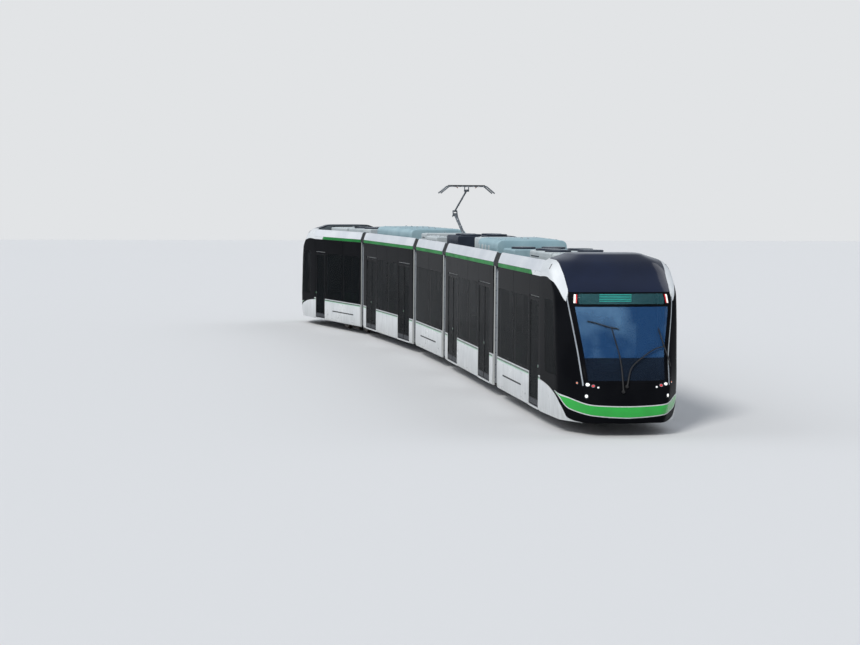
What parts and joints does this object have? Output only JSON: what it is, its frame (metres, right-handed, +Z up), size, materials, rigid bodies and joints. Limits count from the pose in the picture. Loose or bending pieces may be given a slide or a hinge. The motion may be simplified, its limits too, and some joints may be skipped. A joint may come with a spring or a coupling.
{
  "type": "articulated low-floor tram",
  "caption": "Double-ended low-floor tram of hinged sections with glazed body sides, bogies under its end and middle sections, bellows between sections and a raised single-arm pantograph.",
  "frame": {"origin": "centre of the whole tram's footprint, at the bottom of the wheel flanges", "axes": "+X is the heading of the middle section, towards the front cab; +Y to its left; +Z up"},
  "size_m": [32.8535, 4.4698, 5.1264],
  "materials": {
    "glass": "dark tinted, gloss",
    "nose_paint": "gloss",
    "body_paint": "gloss",
    "roof_box_paint": "satin",
    "underframe": "satin",
    "cab_trim": "matt",
    "seat_plastic": "satin",
    "door_paint": "gloss",
    "wheel_steel": "worn",
    "bellows_rubber": "matt",
    "pantograph_metal": "satin"
  },
  "bodies": {
    "front_cab": {"front_cab_side_walls": "body_paint", "front_cab_roof_gear": "roof_box_paint", "front_cab_roof": "body_paint", "front_cab_floor": "underframe", "front_cab_seats": "seat_plastic", "front_cab_bogie": "underframe", "front_cab_doors": "door_paint", "front_cab_nose": "nose_paint", "front_cab_windscreen": "glass", "front_cab_windows": "glass", "front_cab_desk_and_seat": "cab_trim", "front_cab_bellows": "bellows_rubber"},
    "rear_cab": {"rear_cab_side_walls": "body_paint", "rear_cab_roof_gear": "roof_box_paint", "rear_cab_roof": "body_paint", "rear_cab_floor": "underframe", "rear_cab_seats": "seat_plastic", "rear_cab_bogie": "underframe", "rear_cab_doors": "door_paint", "rear_cab_nose": "nose_paint", "rear_cab_windscreen": "glass", "rear_cab_windows": "glass", "rear_cab_desk_and_seat": "cab_trim", "rear_cab_bellows": "bellows_rubber"},
    "front_saloon": {"front_saloon_side_walls": "body_paint", "front_saloon_roof_gear": "roof_box_paint", "front_saloon_roof": "body_paint", "front_saloon_floor": "underframe", "front_saloon_seats": "seat_plastic", "front_saloon_doors": "door_paint", "front_saloon_windows": "glass", "front_bellows": "bellows_rubber"},
    "rear_saloon": {"rear_saloon_side_walls": "body_paint", "rear_saloon_roof_gear": "roof_box_paint", "rear_saloon_roof": "body_paint", "rear_saloon_floor": "underframe", "rear_saloon_seats": "seat_plastic", "rear_saloon_doors": "door_paint", "rear_saloon_windows": "glass", "rear_bellows": "bellows_rubber"},
    "middle_car": {"middle_car_side_walls": "body_paint", "middle_car_roof_gear": "roof_box_paint", "middle_car_roof": "body_paint", "middle_car_floor": "underframe", "middle_car_seats": "seat_plastic", "middle_car_bogie": "underframe", "middle_car_windows": "glass", "pantograph_base": "pantograph_metal"},
    "front_cab_inner_wheelset": {"front_cab_inner_wheelset": "wheel_steel"},
    "front_cab_outer_wheelset": {"front_cab_outer_wheelset": "wheel_steel"},
    "rear_cab_inner_wheelset": {"rear_cab_inner_wheelset": "wheel_steel"},
    "rear_cab_outer_wheelset": {"rear_cab_outer_wheelset": "wheel_steel"},
    "middle_car_inner_wheelset": {"middle_car_inner_wheelset": "wheel_steel"},
    "middle_car_outer_wheelset": {"middle_car_outer_wheelset": "wheel_steel"},
    "pantograph_lower_arm": {"pantograph_lower_arm": "pantograph_metal"},
    "pantograph_upper_arm": {"pantograph_upper_arm": "pantograph_metal"},
    "pantograph_head": {"pantograph_head": "pantograph_metal"},
    "pantograph_control_rod": {"pantograph_control_rod": "pantograph_metal"}
  },
  "joints": [
    {"name": "front_joint", "type": "hinge", "parent": "middle_car", "child": "front_saloon", "pos_m": [2.1788, 0.9099, 0.32], "axis": [0, 0, 1], "range_deg": [-14.3, 17.7], "deforming": ["front_bellows"]},
    {"name": "front_cab_joint", "type": "hinge", "parent": "front_saloon", "child": "front_cab", "pos_m": [9.32565, 0.69779, 0.32], "axis": [0, 0, 1], "range_deg": [-16, 16], "deforming": ["front_cab_bellows"]},
    {"name": "rear_joint", "type": "hinge", "parent": "middle_car", "child": "rear_saloon", "pos_m": [-2.2712, 0.9099, 0.32], "axis": [0, 0, 1], "range_deg": [-20, 12], "deforming": ["rear_bellows"]},
    {"name": "rear_cab_joint", "type": "hinge", "parent": "rear_saloon", "child": "rear_cab", "pos_m": [-9.40378, 0.41114, 0.32], "axis": [0, 0, 1], "range_deg": [-25.1, 6.9], "deforming": ["rear_cab_bellows"]},
    {"name": "front_cab_inner_wheels", "type": "hinge", "parent": "front_cab", "child": "front_cab_inner_wheelset", "pos_m": [10.37519, 0.66664, 0.325], "axis": [0.0297, 0.9996, 0], "continuous": true},
    {"name": "front_cab_outer_wheels", "type": "hinge", "parent": "front_cab", "child": "front_cab_outer_wheelset", "pos_m": [12.1744, 0.61324, 0.325], "axis": [0.0297, 0.9996, 0], "continuous": true},
    {"name": "rear_cab_inner_wheels", "type": "hinge", "parent": "rear_cab", "child": "rear_cab_inner_wheelset", "pos_m": [-10.42646, 0.17316, 0.325], "axis": [0.2267, -0.974, 0], "continuous": true},
    {"name": "rear_cab_outer_wheels", "type": "hinge", "parent": "rear_cab", "child": "rear_cab_outer_wheelset", "pos_m": [-12.17961, -0.23481, 0.325], "axis": [0.2267, -0.974, 0], "continuous": true},
    {"name": "middle_car_inner_wheels", "type": "hinge", "parent": "middle_car", "child": "middle_car_inner_wheelset", "pos_m": [-0.9462, 0.9099, 0.325], "axis": [0, 1, 0], "continuous": true},
    {"name": "middle_car_outer_wheels", "type": "hinge", "parent": "middle_car", "child": "middle_car_outer_wheelset", "pos_m": [0.8538, 0.9099, 0.325], "axis": [0, 1, 0], "continuous": true},
    {"name": "pantograph_lift", "type": "hinge", "parent": "middle_car", "child": "pantograph_lower_arm", "pos_m": [-0.9962, 0.9099, 3.525], "axis": [0, 1, 0], "range_deg": [-19, 30]},
    {"name": "pantograph_knuckle", "type": "hinge", "parent": "pantograph_lower_arm", "child": "pantograph_upper_arm", "pos_m": [-2.5949, 0.9099, 4.23679], "axis": [0, 1, 0], "range_deg": [-60.5, 38.5]},
    {"name": "pantograph_head_pivot", "type": "hinge", "parent": "pantograph_upper_arm", "child": "pantograph_head", "pos_m": [-1.00887, 0.9099, 4.97637], "axis": [0, 1, 0], "range_deg": [-19.5, 30.5]},
    {"name": "control_rod_pivot", "type": "hinge", "parent": "middle_car", "child": "pantograph_control_rod", "pos_m": [-1.3562, 0.9099, 3.485], "axis": [0, 1, 0], "range_deg": [-21.4, 33.5]}
  ],
  "couplings": [
    {"joint": "pantograph_knuckle", "follows": "pantograph_lift", "ratio": -2},
    {"joint": "pantograph_head_pivot", "follows": "pantograph_lift", "ratio": 1},
    {"joint": "control_rod_pivot", "follows": "pantograph_lift", "ratio": 1.1}
  ]
}
